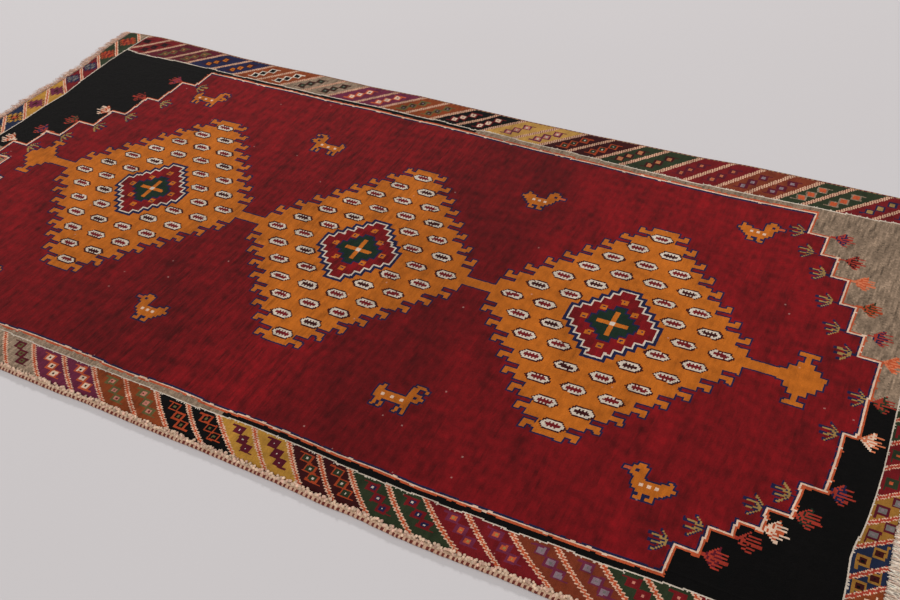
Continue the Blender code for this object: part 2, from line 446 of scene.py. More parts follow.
FAR_BANDS = (-1.100, -1.0375, -0.950, -0.880, -0.790, -0.7125, -0.634, -0.558, -0.485, -0.410,
             -0.322, -0.248, -0.177, -0.102, -0.030, 0.040, 0.125, 0.195, 0.265, 0.339, 0.400,
             0.481, 0.551, 0.621, 0.687, 0.748, 0.808, 0.881, 0.953, 1.020)
# how far along a dividing line goes for each metre out, read along the rug
NEAR_SLANT = ((-0.51, 1.10), (-0.35, 1.27), (-0.12, 1.25), (0.02, 1.23), (0.10, 1.05), (0.18, 1.04),
              (0.24, 1.13), (0.38, 1.17), (0.45, 1.33), (0.60, 1.33), (0.80, 1.20))
FAR_SLANT = ((-1.10, 0.95), (-0.60, 1.00), (0.20, 1.00), (0.33, 0.91), (0.47, 0.80), (0.69, 0.77),
             (0.80, 0.90), (0.90, 1.00))
LEFT_DYES = (
    ("grey", "maroon", "grey", "orange", 4.0, 2.3), ("wine", "gold", "wine", "cream", 4.0, 2.3),
    ("green", "crimson", "green", "white", 4.0, 2.3), ("rust", "cream", "maroon", "cream", 4.0, 2.3),
    ("blue", "ochre", "maroon", "orange", 4.0, 2.3), ("ochre", "purple", "purple", "maroon", 4.0, 2.3),
    ("crimson", "navy", "slate", "navy", 4.0, 2.3),
    ("green", "burnt orange", "crimson", "orange", 4.0, 2.3),
    ("grey", "cream", "grey", "maroon", 4.0, 2.3),
)
LEFT_BANDS = tuple(-0.043 - 0.073 * i for i in range(8))[::-1] + (
    0.030, 0.1025, 0.180, 0.2475, 0.3175, 0.390, 0.465, 0.555)
RIGHT_DYES = (
    ("rust", "cream", "maroon", "cream", 4.0, 2.3), ("blue", "dark ochre", "maroon", "black", 4.2, 1.8),
    ("dark ochre", "wine", "slate", "lilac", 4.2, 1.6),
    ("crimson", "green", "green", "orange", 4.4, 3.0),
    ("green", "crimson", "crimson", "orange", 4.0, 2.3), ("wine", "gold", "wine", "cream", 4.0, 2.3),
    ("grey", "maroon", "grey", "orange", 4.0, 2.3), ("black", "orange", "green", "cream", 4.0, 2.3),
)
RIGHT_BANDS = (-0.600, -0.545, -0.482, -0.420, -0.384, -0.326, -0.276, -0.222, -0.156, -0.100,
               -0.044, 0.014, 0.072, 0.130, 0.188, 0.246, 0.304, 0.362, 0.420, 0.478, 0.536)


# %% What lies in the bands
TAIL_L, TAIL_W = 9 * MM, 3.4 * MM      # the hook at either end of a chain of squares
TOOTH_OUT, TOOTH_IN = 5.0 * MM, -3.0 * MM


def lay_squares(chart, a, b, i, looks, border):
    """One square of every band's chain. a and b are the distances from its middle."""
    edge, fill, heart, line_w, heart_r = looks
    half_l, half_h = border["square"]
    away_l, away_h = half_l - np.abs(a), half_h - np.abs(b)
    turn = {0: -1, len(border["chain"]) - 1: 1}.get(i, 0)
    hook = (a * turn > 0) & (np.abs(a) < half_l + TAIL_L)
    hook &= (b * turn > half_h - TAIL_W) & (np.abs(b) < half_h)
    for part, of_band in (
        ((away_l > 0) & (away_h > 0), edge),
        ((away_l > line_w) & (away_h > line_w * 0.8), fill),
        ((np.abs(a) < heart_r) & (np.abs(b) < heart_r), heart),
        (hook, edge),
    ):
        chart[part] = of_band[part]


def lay_lozenges(chart, a, b, row, looks, border):
    """A toothed lozenge in every band, with a smaller one and a heart inside it."""
    long, wide = border["lozenge"]
    reach = long * (1 - b / wide) + np.where(row % 4 < 2, TOOTH_OUT, TOOTH_IN)
    for share, of_band in zip((1.0, 0.60, 0.25), looks):
        part = (b < wide * share) & (a < reach - long * (1 - share))
        chart[part] = of_band[part]


def lay_dividers(chart, off, row, col, kind):
    """The lines that part the bands. off is the distance from a line, with its half width as 1."""
    if kind == "toothed":
        tooth = row % 2 == 0
        chart[off < np.where(tooth, 1.0, 0.73)] = dye("shell")
        chart[off < np.where(tooth, 0.23, 0.60)] = dye("orange")
    elif kind == "slashed":
        chart[off < 1.0] = dye("brick")
        chart[(off < 1.0) & ((col + row) % 3 < 2) & (off > 0.42)] = dye("shell")
    elif kind == "roped":
        chart[off < 0.90] = dye("crimson")
        chart[(off < 1.0) & ((col + row // 2) % 3 < 2)] = dye("dusty shell")
    else:
        chart[off < 1.0] = dye("shell")
        chart[off < 0.35] = dye("orange")


# %% Draw one border
BOW_DEPTH = 0.075            # bands bow most half way out to this depth


def lay_bands(along, out, row, col, border):
    """Dyes of a border. along and out are in metres; border holds its measures by name."""
    lines, dyes = np.array(border["lines"]), border["dyes"]
    start = along - border["slant"] * out
    slant = read(border["slants"], start) if "slants" in border else border["slant"]
    bow = border.get("bow", 0.0) * 4 * (out / BOW_DEPTH) * np.clip(1 - out / BOW_DEPTH, 0, 1)
    slid = along - slant * out + bow
    band = np.searchsorted(lines, slid)
    ends = np.concatenate([[2 * lines[0] - lines[1]], lines, [2 * lines[-1] - lines[-2]]])
    low, high = ends[band], ends[band + 1]
    pick = ((band + border["first"]) // 2) % len(dyes)
    ground, *looks = (np.array([dye(r[i]) for r in dyes])[pick] for i in range(4))
    looks += [np.array([r[i] for r in dyes])[pick] * MM for i in (4, 5)]
    chart = ground.copy()
    chain = border["chain"]
    for i, step in enumerate(chain):
        place = step * border.get("breadth", 1.0)
        climb = border.get("climb", 0.0) * (step - sum(chain) / len(chain))
        a, b = along - (low + high) / 2 - slant * place - climb, out - place
        if "lozenge" in border:
            lay_lozenges(chart, np.abs(a), np.abs(b), row, looks, border)
        else:
            lay_squares(chart, a, b, i, looks, border)
    off = np.abs(slid - np.where(slid - low < high - slid, low, high))
    lay_dividers(chart, off / border["divider_half"], row, col, border["divider"])
    return chart


print(len(NEAR_BANDS) + len(FAR_BANDS) + len(LEFT_BANDS) + len(RIGHT_BANDS), "dividing lines")

# %% [markdown]
# ## Flowers on the stairs
# A small fingered flower grows from every corner of the stairs, dull gold in the field, and mostly
# red, salmon or cream in the corners. Its fingers leave one point, spread, and then run on side by
# side, with a second colour beneath or between them.

# %% Flowers
FIELD_FLOWERS = (
    (0.834, 0.408), (0.866, 0.348), (0.904, 0.290), (0.934, 0.214), (0.964, 0.142), (0.996, 0.086),
    (1.042, -0.018), (1.016, -0.114), (0.978, -0.272), (0.944, -0.314), (0.872, -0.392),
    (0.832, -0.440),
)
FIELD_FLOWERS_LEFT = (
    (-0.7625, 0.4075), (-0.805, 0.3075), (-0.8475, 0.220), (-0.8925, 0.150), (-0.940, 0.080),
    (-0.986, 0.012), (-1.030, -0.052), (-0.986, -0.122), (-0.938, -0.192), (-0.8925, -0.268),
    (-0.848, -0.352), (-0.810, -0.452),
)
CORNER_FLOWERS = (
    (0.894, 0.412, "petal red", "navy"), (0.928, 0.348, "petal red", "maroon"),
    (0.958, 0.290, "salmon", "orange"), (0.986, 0.220, "burnt orange", "green"),
    (1.018, 0.148, "petal red", "navy"), (1.050, 0.088, "salmon", "orange"),
    (1.052, -0.016, "petal red", "green"), (1.050, -0.108, "salmon", "cream"),
    (1.030, -0.238, "petal red", "navy"), (0.994, -0.306, "petal red", "dark green"),
    (0.956, -0.350, "cream", "orange"), (0.924, -0.386, "petal red", "black"),
    (0.888, -0.436, "petal red", "wine"),
)
CORNER_FLOWERS_LEFT = (
    (-0.825, 0.415, "petal red", "purple"), (-0.860, 0.310, "petal red", "maroon"),
    (-0.905, 0.220, "cream", "orange"), (-0.9525, 0.150, "petal red", "green"),
    (-0.996, 0.085, "petal red", "navy"), (-1.045, 0.020, "cream", "orange"),
    (-1.045, -0.055, "petal red", "green"), (-0.996, -0.125, "petal red", "navy"),
    (-0.9525, -0.195, "petal red", "maroon"), (-0.905, -0.270, "cream", "orange"),
    (-0.860, -0.355, "petal red", "green"), (-0.825, -0.450, "petal red", "purple"),
)


# %% Draw the flowers
# shade and petals hold the reach of their fingers as a share of the length, and their half width
# in knots; mixed is the share of the petals' knots near the stem that take the shade
FIELD_FLOWER = {"length": 34 * MM, "spread": 20 * MM, "fingers": 4, "mixed": 0.0,
                "shade": (1.0, 1.10), "petals": (0.84, 0.62), "shade_between": False}
CORNER_FLOWER = {"length": 39 * MM, "spread": 20 * MM, "fingers": 6, "mixed": 0.32,
                 "shade": (0.72, 0.55), "petals": (1.0, 0.56), "shade_between": True}
ROOM_BACK, ROOM_ROUND = 9 * MM, 8 * MM      # only knots this near a flower are looked at
STEM_BACK, STEM_ON, STEM_HALF = 8 * MM, 3 * MM, 2.6 * MM


def lay_flower(chart, x, y, base, facing, form, petals, shade, knot):
    """A flower from its base point, facing +x or -x: fingers that spread and run on level."""
    length, spread = form["length"], form["spread"]
    ahead_of, aside = (x - base[0]) * facing, y - base[1]
    near = (ahead_of > -ROOM_BACK) & (ahead_of < length + ROOM_ROUND)
    near &= np.abs(aside) < spread + ROOM_ROUND
    p, q, part = ahead_of[near], aside[near], chart[near]
    open_to = spread * np.clip(p / length / 0.50, 0, 1) ** 0.8
    leans = np.linspace(-1, 1, form["fingers"])
    between = (leans[1:] + leans[:-1]) / 2 if form["shade_between"] else leans
    fingers = ((shade, between, form["shade"]), (petals, leans, form["petals"]))
    for name, rays, (share, breadth) in fingers:
        for k, lean in enumerate(rays):
            reach = length * share * (0.97 - 0.34 * lean ** 2 + 0.06 * (-1) ** k)
            off = np.abs(q - lean * open_to)
            part[(p > 0.04 * length) & (p < reach) & (off < breadth * knot)] = dye(name)
    mixed = np.random.default_rng(79).random(p.shape) < form["mixed"]
    part[mixed & (part == dye(petals)) & (p > 0) & (p < 0.6 * length)] = dye(shade)
    stem = (p > -STEM_BACK) & (p < STEM_ON) & (np.abs(q) < STEM_HALF)
    part[stem] = dye(petals if form["shade_between"] else "navy")
    chart[near] = part


def lay_flowers(chart, x, y, knot):
    for group, facing in ((FIELD_FLOWERS, -1), (FIELD_FLOWERS_LEFT, 1)):
        for base in group:
            lay_flower(chart, x, y, base, facing, FIELD_FLOWER, "old gold", "navy", knot)
    for group, facing in ((CORNER_FLOWERS, 1), (CORNER_FLOWERS_LEFT, -1)):
        for bx, by, petals, shade in group:
            lay_flower(chart, x, y, (bx, by), facing, CORNER_FLOWER, petals, shade, knot)


# %% [markdown]
# ## The pole of medallions
# The middle of the field holds a plain village pattern: three stepped lozenges on a pole, with
# hooks on every step, in gold with a navy outline. Inside lie rows of small pointed beads, white
# with a red or maroon heart. It is drawn with whole steps, because a knotter can only step.

# %% Medallions
POLE_Y, POLE_HALF = -0.012, 13 * MM
MEDALLIONS = (-0.565, 0.005, 0.575)
MEDALLION_L, MEDALLION_W, MEDALLION_STEPS = 0.252, 0.310, 9
PENDANT_OUT = 0.355          # from the middle of the first or last medallion
HOOK_OUT, HOOK_UP, THIN_HALF = 24 * MM, 13 * MM, 5 * MM


def gold_shape(x, y):
    """Which knots are gold: medallions with hooks, the pole, and a pendant at either end."""
    v = np.abs(y - POLE_Y)
    first, last = MEDALLIONS[0] - PENDANT_OUT, MEDALLIONS[-1] + PENDANT_OUT
    gold = (v < POLE_HALF) & (x > first) & (x < last)
    rise, run = MEDALLION_W / MEDALLION_STEPS, MEDALLION_L / MEDALLION_STEPS
    step = np.floor(v / rise)
    root = v - (step + 0.5) * rise
    hooked = (step >= 1) & (step < MEDALLION_STEPS)
    for middle in MEDALLIONS:
        u = np.abs(x - middle)
        reach = MEDALLION_L - step * run
        gold |= (step < MEDALLION_STEPS) & (u < reach)
        gold |= hooked & (u < reach + HOOK_OUT) & (np.abs(root) < THIN_HALF)
        upright = np.abs(u - reach - (HOOK_OUT - THIN_HALF)) < THIN_HALF
        gold |= hooked & upright & (root > -THIN_HALF) & (root < HOOK_UP)
    for end in (first, last):
        u = np.abs(x - end)
        gold |= (np.floor(v / (14 * MM)) * 12 * MM + u < 40 * MM) & (v < 48 * MM)
        gold |= (np.abs(v - 54 * MM) < 12 * MM) & (u < THIN_HALF)
        gold |= (np.abs(v - 64 * MM) < THIN_HALF) & (u < 17 * MM)
    return gold


# %% Beads
BEAD_PITCH_L, BEAD_PITCH_W = 70 * MM, 47 * MM


def lay_beads(chart, x, y, middle):
    """Rows of pointed beads inside one medallion, each with a toothed white line."""
    u, w = x - middle, y - POLE_Y
    line = np.round(w / BEAD_PITCH_W)
    slide = (line % 2) * BEAD_PITCH_L / 2
    place = np.round((u - slide) / BEAD_PITCH_L)
    cu, cw = place * BEAD_PITCH_L + slide, line * BEAD_PITCH_W
    # beads keep clear of the medallion's edge and of the heart in its middle
    fits = np.abs(cu) / (MEDALLION_L - 30 * MM) + np.abs(cw) / (MEDALLION_W - 16 * MM) < 1
    fits &= np.abs(cu) / (150 * MM) + np.abs(cw) / (165 * MM) > 0.80
    a, b = np.abs(u - cu), np.abs(w - cw)
    pointed = a + 0.9 * b
    chart[fits & (b < 12.4 * MM) & (pointed < 27 * MM)] = dye("maroon")
    chart[fits & (b < 9.2 * MM) & (pointed < 22.5 * MM)] = dye("white")
    toothed = b < np.where(np.indices(x.shape)[1] % 2 == 0, 6.6, 3.4) * MM
    heart = fits & toothed & (pointed < 15.5 * MM)
    dark = (line + 2 * place) % 5 == 0
    chart[heart] = np.where(dark, dye("maroon"), dye("crimson"))[heart]


def lay_heart(chart, x, y, middle):
    """A stepped lozenge in the middle of a medallion, ringed in white and navy, with a cross."""
    u, v = np.abs(x - middle), np.abs(y - POLE_Y)
    core = u < 84 * MM - np.floor(v / (16 * MM)) * 14 * MM
    inner = u < 46 * MM - np.floor(v / (12 * MM)) * 12 * MM
    white = grown(core)
    for part, name in (
        (grown(grown(white)), "navy"), (white, "white"), (core, "field red"),
        (grown(inner), "navy"), (inner, "dark green"),
        ((u < 5 * MM) & (v < 34 * MM) | (v < 5 * MM) & (u < 30 * MM), "gold"),
        ((u < 5 * MM) & (v < 5 * MM), "white"),
    ):
        chart[part] = dye(name)
    for cu, cv in ((58, 0), (0, 66), (32, 38)):
        for half, name in ((6.6 * MM, "gold"), (2 * MM, "navy")):
            chart[core & (np.abs(u - cu * MM) < half) & (np.abs(v - cv * MM) < half)] = dye(name)


# %% [markdown]
# ## Small creatures
# Weavers put small goats and birds in the open ground. Each is charted on squares, one
# letter to a square of two knots by two, as a weaver would on squared paper.

# %% Charted goats and birds
GOAT = (
    "..ggg..........",
    ".g..gg.........",
    "....gg.........",
    "..gggg.......g.",
    ".ggngg.......gg",
    "..ggggggggggggg",
    "....ggwggwggwgg",
    "....ggggggggggg",
    "....gg......gg.",
    "....g.g....g.g.",
    "....g.g....g.g.",
)
BIRD = (
    "...gg.........",
    "..gggg........",
    "oogngg........",
    "..gggg......g.",
    "...ggg....ggg.",
    "...ggggggggggg",
    "...ggwgwgwggg.",
    "....gggggggg..",
    ".....gggggg...",
    "......g..g....",
    ".....gg.gg....",
)
CHART_DYES = {"g": "gold", "n": "navy", "w": "cream", "o": "orange"}
CHART_SQUARE = 6.6 * MM
CREATURES = (
    (GOAT, -0.285, 0.305, 1), (GOAT, 0.300, -0.345, -1), (BIRD, 0.290, 0.300, -1),
    (BIRD, -0.290, -0.345, 1), (BIRD, 0.765, -0.345, 1), (GOAT, -0.690, 0.375, -1),
    (BIRD, 0.750, 0.375, -1), (GOAT, -0.720, -0.390, 1),
)


def lay_creature(chart, x, y, rows, cx, cy, facing):
    """A charted figure with a navy outline, its middle at a point, facing left or right."""
    tall, wide = len(rows), len(rows[0])
    col = np.floor((x - cx) * facing / CHART_SQUARE + wide / 2).astype(int)
    row = np.floor((cy - y) / CHART_SQUARE + tall / 2).astype(int)
    near = (col >= 0) & (col < wide) & (row >= 0) & (row < tall)
    drawn = np.full(x.shape, ".")
    drawn[near] = np.array([list(line) for line in rows])[row[near], col[near]]
    chart[grown(drawn != ".")] = dye("navy")
    for letter, name in CHART_DYES.items():
        chart[drawn == letter] = dye(name)


# %% [markdown]
# ## The whole chart
# The ground comes first, then the field's figures, the guard lines, the borders and the white
# lines between them, as a weaver reads a chart from the middle outwards.

# %% The four borders
# line_in is how far the white line lies outside the drawn line; bow, climb and breadth shape the
# bands: how far they bow, how much the squares drift along them, and how wide the border is
NEAR_BORDER = {
    "lines": NEAR_BANDS, "dyes": NEAR_DYES, "first": 0, "slant": 1.2, "slants": NEAR_SLANT,
    "bow": 5 * MM, "line_in": 1.7 * MM, "chain": (0.0155, 0.0320, 0.0465),
    "square": (10.6 * MM, 9.0 * MM), "divider": "toothed", "divider_half": 7.4 * MM,
}
FAR_BORDER = {
    "lines": FAR_BANDS, "dyes": FAR_DYES, "first": 0, "slant": 0.95, "slants": FAR_SLANT,
    "line_in": 4.5 * MM, "chain": (0.0205, 0.0370, 0.0575),
    "square": (10.4 * MM, 10.0 * MM), "divider": "roped", "divider_half": 6.6 * MM,
}
LEFT_BORDER = {
    "lines": LEFT_BANDS, "dyes": LEFT_DYES, "first": 0, "slant": 1.05, "line_in": 2.5 * MM,
    "chain": (0.031,), "lozenge": (25 * MM, 27 * MM), "divider": "plain", "divider_half": 6.4 * MM,
}
RIGHT_BORDER = {
    "lines": RIGHT_BANDS, "dyes": RIGHT_DYES, "first": -2, "slant": 0.75, "climb": 0.45,
    "line_in": 2.0 * MM, "chain": (0.0155, 0.0345), "square": (10.0 * MM, 9.8 * MM),
    "divider": "slashed", "divider_half": 5.2 * MM,
}
FAR_BORDER_W = 88 * MM       # the far border's squares are placed for this width

# %% The whole chart
GROUND_TURN_X, GROUND_TURN_Y = 0.028, -0.016


def whole_chart(x, y, knot):
    """The dye of every knot of a grid of places. Its rows run along the rug."""
    row, col = np.indices(x.shape)
    dark = (x < GROUND_TURN_X) == (y > GROUND_TURN_Y)
    chart = np.where(dark, dye("black"), dye("grey"))
    chart[in_field(x, y, 0)] = dye("field red")
    gold = gold_shape(x, y)
    chart[grown(gold)] = dye("navy")
    chart[gold] = dye("gold")
    for middle in MEDALLIONS:
        lay_beads(chart, x, y, middle)
        lay_heart(chart, x, y, middle)
    for rows, cx, cy, facing in CREATURES:
        lay_creature(chart, x, y, rows, cx, cy, facing)
    lay_flowers(chart, x, y, knot)
    lay_guard_lines(chart, x, y, knot)
    breadth = (far_edge(x) - read(FAR_WHITE, x)) / FAR_BORDER_W
    missed = np.random.default_rng(78).random(x.shape) < 0.86
    for out, along, across, onward, border in (
        (read(NEAR_WHITE, x) - y, x, row, col, NEAR_BORDER),
        (y - read(FAR_WHITE, x), x, row, col, dict(FAR_BORDER, breadth=breadth)),
        (read(LEFT_WHITE, y) - x, y, col, row, LEFT_BORDER),
        (x - read(RIGHT_WHITE, y), y, col, row, RIGHT_BORDER),
    ):
        beyond = out > -border["line_in"]
        if beyond.any():
            chart[beyond] = lay_bands(along, out, across, onward, border)[beyond]
            ring = rings(beyond, 2)
            chart[(ring == 0) | (ring == -1) & ~missed] = dye("white")
    return chart


# %% [markdown]
# ## Turning the chart into knots
# A grid primitive gives rows of square faces. Its points are moved so that its rows follow the
# rug's own lines, its rim is pulled down to the foundation and closed underneath, and each face
# gets its dye. Rows of knots waver a little and no two tufts are cut to one height, so every
# point is moved by a fraction of a millimetre.

# %% Reading a mesh
def places(mesh):
    """Where the points of a mesh are, as rows of x, y and z."""
    at = np.empty(len(mesh.vertices) * 3)
    mesh.vertices.foreach_get("co", at)
    return at.reshape(-1, 3)


def face_sides(mesh):
    """How many corners each face has."""
    sides = np.empty(len(mesh.polygons), int)
    mesh.polygons.foreach_get("loop_total", sides)
    return sides


def corner_points(mesh):
    """The point at each corner of each face, face after face."""
    points = np.empty(len(mesh.loops), int)
    mesh.loops.foreach_get("vertex_index", points)
    return points


# %% Grids that are closed below
FOOT_Z = 3.0 * MM


def flat_grid(name, rows, cols):
    """A grid primitive, and the row and column of each of its points."""
    bpy.ops.object.select_all(action="DESELECT")
    bpy.ops.mesh.primitive_grid_add(x_subdivisions=cols, y_subdivisions=rows, size=1.0)
    piece = bpy.context.object
    piece.name = piece.data.name = name
    at = places(piece.data)
    point_row = np.rint((at[:, 1] + 0.5) * rows).astype(int)
    point_col = np.rint((at[:, 0] + 0.5) * cols).astype(int)
    return piece, point_row, point_col


def close_below(piece, z):
    """Pulls the open rim straight down to a height and closes it with one flat face."""
    bpy.ops.object.mode_set(mode="EDIT")
    bpy.ops.mesh.select_mode(type="EDGE")
    bpy.ops.mesh.select_all(action="DESELECT")
    bpy.ops.mesh.select_non_manifold(extend=False)
    bpy.ops.mesh.extrude_edges_move(TRANSFORM_OT_translate={"value": (0, 0, -1)})
    bpy.ops.mesh.edge_face_add()
    bpy.ops.mesh.select_all(action="DESELECT")
    bpy.ops.object.mode_set(mode="OBJECT")
    at = places(piece.data)
    at[at[:, 2] < -0.5, 2] = z
    piece.data.vertices.foreach_set("co", at.ravel())
    piece.data.update()


def paint(piece, light):
    """Gives each face its own light values, as a colour attribute on its corners."""
    mesh = piece.data
    rgba = np.ones((len(mesh.loops), 4))
    rgba[:, :3] = np.repeat(light, face_sides(mesh), axis=0)
    layer = mesh.color_attributes.new("dye", "FLOAT_COLOR", "CORNER")
    layer.data.foreach_set("color", rgba.ravel())


# %% UV map of a grid
RIM_OUT = 0.8                # the pulled-down rim lies this many knots outside the grid
FOLD_GAP = 6                 # knots between two folds, half of it round the whole map
CLOSING_SIZE = 0.001         # the flat face that closes a piece takes next to no room


def unfold(piece, point_row, point_col, rows, cols, folds):
    """A UV map that folds a long strip into a few rows, so that it fills the square."""
    mesh = piece.data
    count = len(point_row)
    verts, sides, at = corner_points(mesh), face_sides(mesh), places(mesh)
    face = np.repeat(np.arange(len(sides)), sides)
    # a point under the rim lies under the rim point of the same place
    on_rim = (point_row % rows == 0) | (point_col % cols == 0)
    keys = {(round(at[i, 0], 6), round(at[i, 1], 6)): i for i in np.flatnonzero(on_rim)}
    under = [keys[(round(a, 6), round(b, 6))] for a, b in at[count:, :2]]
    top = np.concatenate([np.arange(count), np.array(under, int)])
    out = RIM_OUT * (np.arange(len(at)) >= count)

    def moved_out(k, last):
        """Row or column at every corner. A point under the rim lies a little outside."""
        k = k[top]
        return (k + out * (k == last) - out * (k == 0))[verts]

    row, col = moved_out(point_row, rows), moved_out(point_col, cols)
    fold_len = math.ceil(cols / folds)
    fold = np.clip(np.bincount(face, col) / sides // fold_len, 0, folds - 1)[face]
    u = (col - fold * fold_len + FOLD_GAP / 2) / (fold_len + FOLD_GAP)
    v = (row + fold * (rows + FOLD_GAP) + FOLD_GAP / 2) / (folds * (rows + FOLD_GAP))
    shrink = np.where(np.repeat(sides > 4, sides), CLOSING_SIZE, 1.0)
    layer = mesh.uv_layers.new(name="OFBake")
    layer.uv.foreach_set("vector", np.stack([u * shrink, v * shrink], 1).ravel())


# %% Places of the knots
def knot_lattice(rows, cols, y_low, y_high, x_low, x_high):
    """Places of the knots' corners, between two long lines and two ends."""
    u, v = np.meshgrid(np.linspace(0, 1, cols + 1), np.linspace(0, 1, rows + 1))
    x = -1.1 + 2.2 * u          # a first guess, which two rounds settle
    for _ in range(2):
        y = y_low(x) + v * (y_high(x) - y_low(x))
        x = x_low(y) + u * (x_high(y) - x_low(y))
    y = y_low(x) + v * (y_high(x) - y_low(x))
    return x, y


def middles(a):
    return (a[1:, 1:] + a[:-1, 1:] + a[1:, :-1] + a[:-1, :-1]) / 4


def slow_noise(x, y, long, wide, turns, seed):
    """A smooth random field from a few waves, about -1 to 1."""
    draw = np.random.default_rng(seed)
    total = np.zeros(x.shape)
    for _ in range(turns):
        fx, fy = draw.normal(0, 1 / long), draw.normal(0, 1 / wide)
        total += np.sin(2 * np.pi * (fx * x + fy * y) + draw.uniform(0, 2 * np.pi))
    return total / math.sqrt(turns)


# %% [markdown]
# ## The light of each knot
# Madder took unevenly, so the field has broad lots of stronger and weaker red, soft mottling and
# thin streaks. These are sums of slow waves over the dye, and each knot adds a small change of its
# own. The undyed grey wool is the most uneven of all. The broad lots also hold painted sheen: the
# far side is set lighter than the near side, and the near left darker and duller, for the pile's
# sheen as seen from the camera.

# %% Dye lots and painted sheen
# x along the rug, and how strong the madder is there, near one long side and near the other,
# with painted sheen: the far side is set lighter, the near left darker
NEAR_LOTS_AND_SHEEN = (
    (-0.80, 0.98), (-0.45, 0.80), (-0.30, 0.68), (-0.16, 0.78), (-0.06, 1.02), (0.08, 1.04),
    (0.12, 0.74), (0.325, 0.68), (0.345, 0.84), (0.60, 0.97), (0.85, 0.99), (1.15, 0.94),
)
FAR_LOTS_AND_SHEEN = (
    (-0.85, 1.02), (-0.60, 1.14), (-0.45, 1.10), (-0.30, 0.98), (-0.05, 0.95), (0.04, 0.90),
    (0.07, 0.75), (0.335, 0.73), (0.355, 1.05), (0.60, 1.20), (0.85, 1.18), (1.15, 1.06),
)
# x along the rug, and how much stronger the thin streaks of uneven dye are there
STREAKS = ((-0.85, 1.3), (-0.40, 1.6), (-0.30, 2.1), (0.07, 2.1), (0.13, 1.3), (0.40, 1.0), (1.15, 0.9))


def lot_and_sheen_strength(x, y):
    """Madder strength and painted sheen: each side has its own lots, and their borders waver."""
    side = np.clip((y + 0.40) / 0.75, 0, 1)
    slid = x + 6 * MM * np.sin(23 * y) + 4 * MM * np.sin(61 * y + 1)
    return (1 - side) * read(NEAR_LOTS_AND_SHEEN, slid) + side * read(FAR_LOTS_AND_SHEEN, slid)


# %% Light of each knot
DARKEST, LIGHTEST = 0.40, 1.8          # limits of what uneven dyeing does to a dye
MADDER_FADE = np.array([1.0, 0.35, 0.5])
FLECKS, FLECK_LIGHT = 0.0003, np.array(linear("#C09A90"))


def knot_light(chart, x, y, seed):
    """Light values of every knot: its dye, slow changes of the dye lots and of painted sheen, and its own
    small change.
    """
    draw = np.random.default_rng(seed)
    lot_and_sheen = 1 + 0.13 * slow_noise(x, y, 0.08, 0.25, 14, 5)
    lot_and_sheen += 0.095 * read(STREAKS, x) * slow_noise(x, y, 0.010, 0.090, 30, 6)
    lot_and_sheen += 0.155 * slow_noise(x, y, 0.034, 0.050, 26, 8) + 0.05 * slow_noise(x, y, 0.008, 0.016, 30, 9)
    # the lots add painted sheen: the far side lighter, the near left darker and duller
    lot_and_sheen *= lot_and_sheen_strength(x, y)
    undyed, madder = chart == dye("grey"), chart == dye("field red")
    lot_and_sheen = np.where(undyed, 1 + 0.26 * slow_noise(x, y, 0.009, 0.07, 30, 7), lot_and_sheen)
    own = draw.normal(1.0, np.where(undyed, 0.16, 0.035))
    tone = np.clip(lot_and_sheen * own, DARKEST, LIGHTEST)[..., None]
    # other dyes took evenly; only the big field and the undyed wool are so streaky
    tone = np.where((undyed | madder)[..., None], tone, tone ** 0.5)
    # a weak madder bath turns brown: red fades faster than the little green and blue
    light = DYE_LIGHT[chart] * np.where(madder[..., None], tone ** MADDER_FADE, tone)
    fleck = (draw.random(chart.shape) < FLECKS) & (chart != dye("black"))
    light[fleck] = 0.65 * light[fleck] + 0.35 * FLECK_LIGHT
    return np.clip(light, 0.002, 0.95)


# %% Uneven heights
# how much lower or higher than the rest each dye's wool lies: the iron in dark dyes wears it down
DYE_WEAR = {"black": -0.35, "navy": -0.30, "maroon": -0.25, "purple": -0.15, "white": 0.25,
            "cream": 0.25, "orange": 0.15}


def shaken(x, y, chart, shake, seed):
    """The knots' corners moved a little each way, and their heights. The rim stays in line."""
    draw = np.random.default_rng(seed)
    px, py = x.copy(), y.copy()
    inner = (slice(1, -1), slice(1, -1))
    px[inner] += draw.uniform(-shake, shake, px[inner].shape)
    py[inner] += draw.uniform(-shake, shake, py[inner].shape)
    wear = np.array([DYE_WEAR.get(n, 0.0) * MM for n in DYE_NAMES])[chart]
    pz = pile_height(px, py)
    pz[inner] += draw.normal(0, 0.5 * shake, px[inner].shape) + middles(wear)
    return px, py, pz


# %% One piece of pile
def grid_faces(piece, point_row, point_col, rows, cols):
    """Row and column of the knot of every face; a rim face takes those of the knot above it."""
    sides, verts = face_sides(piece.data), corner_points(piece.data)
    starts = np.concatenate([[0], np.cumsum(sides)[:-1]])
    on_grid = verts < len(point_row)
    verts = np.minimum(verts, len(point_row) - 1)
    row = np.minimum.reduceat(np.where(on_grid, point_row[verts], rows), starts)
    col = np.minimum.reduceat(np.where(on_grid, point_col[verts], cols), starts)
    return np.minimum(row, rows - 1), np.minimum(col, cols - 1)


def knotted(name, at, light, folds):
    """One closed piece of pile from its points and the light of its knots."""
    rows, cols = light.shape[:2]
    piece, point_row, point_col = flat_grid(name, rows, cols)
    piece.data.vertices.foreach_set("co", at[point_row, point_col].ravel())
    close_below(piece, FOOT_Z)
    paint(piece, light[grid_faces(piece, point_row, point_col, rows, cols)])
    unfold(piece, point_row, point_col, rows, cols, folds)
    bpy.ops.object.shade_smooth_by_angle(angle=math.radians(50))
    piece.data.materials.append(wool_pile)
    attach(piece, "root")
    print(name, rows, "x", cols, "knots")
    return piece


# %% [markdown]
# ## Wool pile
# Sheared wool is matt, with a faint sheen across the tips of the fibres, and no two knots take
# the dye alike. The dye comes from the piece's own attribute. Streaks run across the rug, the way
# the weft rows were tied, each a few millimetres wide, and a fine grain stands for the cut ends
# of the fibres, drawn 1 to 1.6 mm coarse because the real ends, 0.03 mm, would not show.

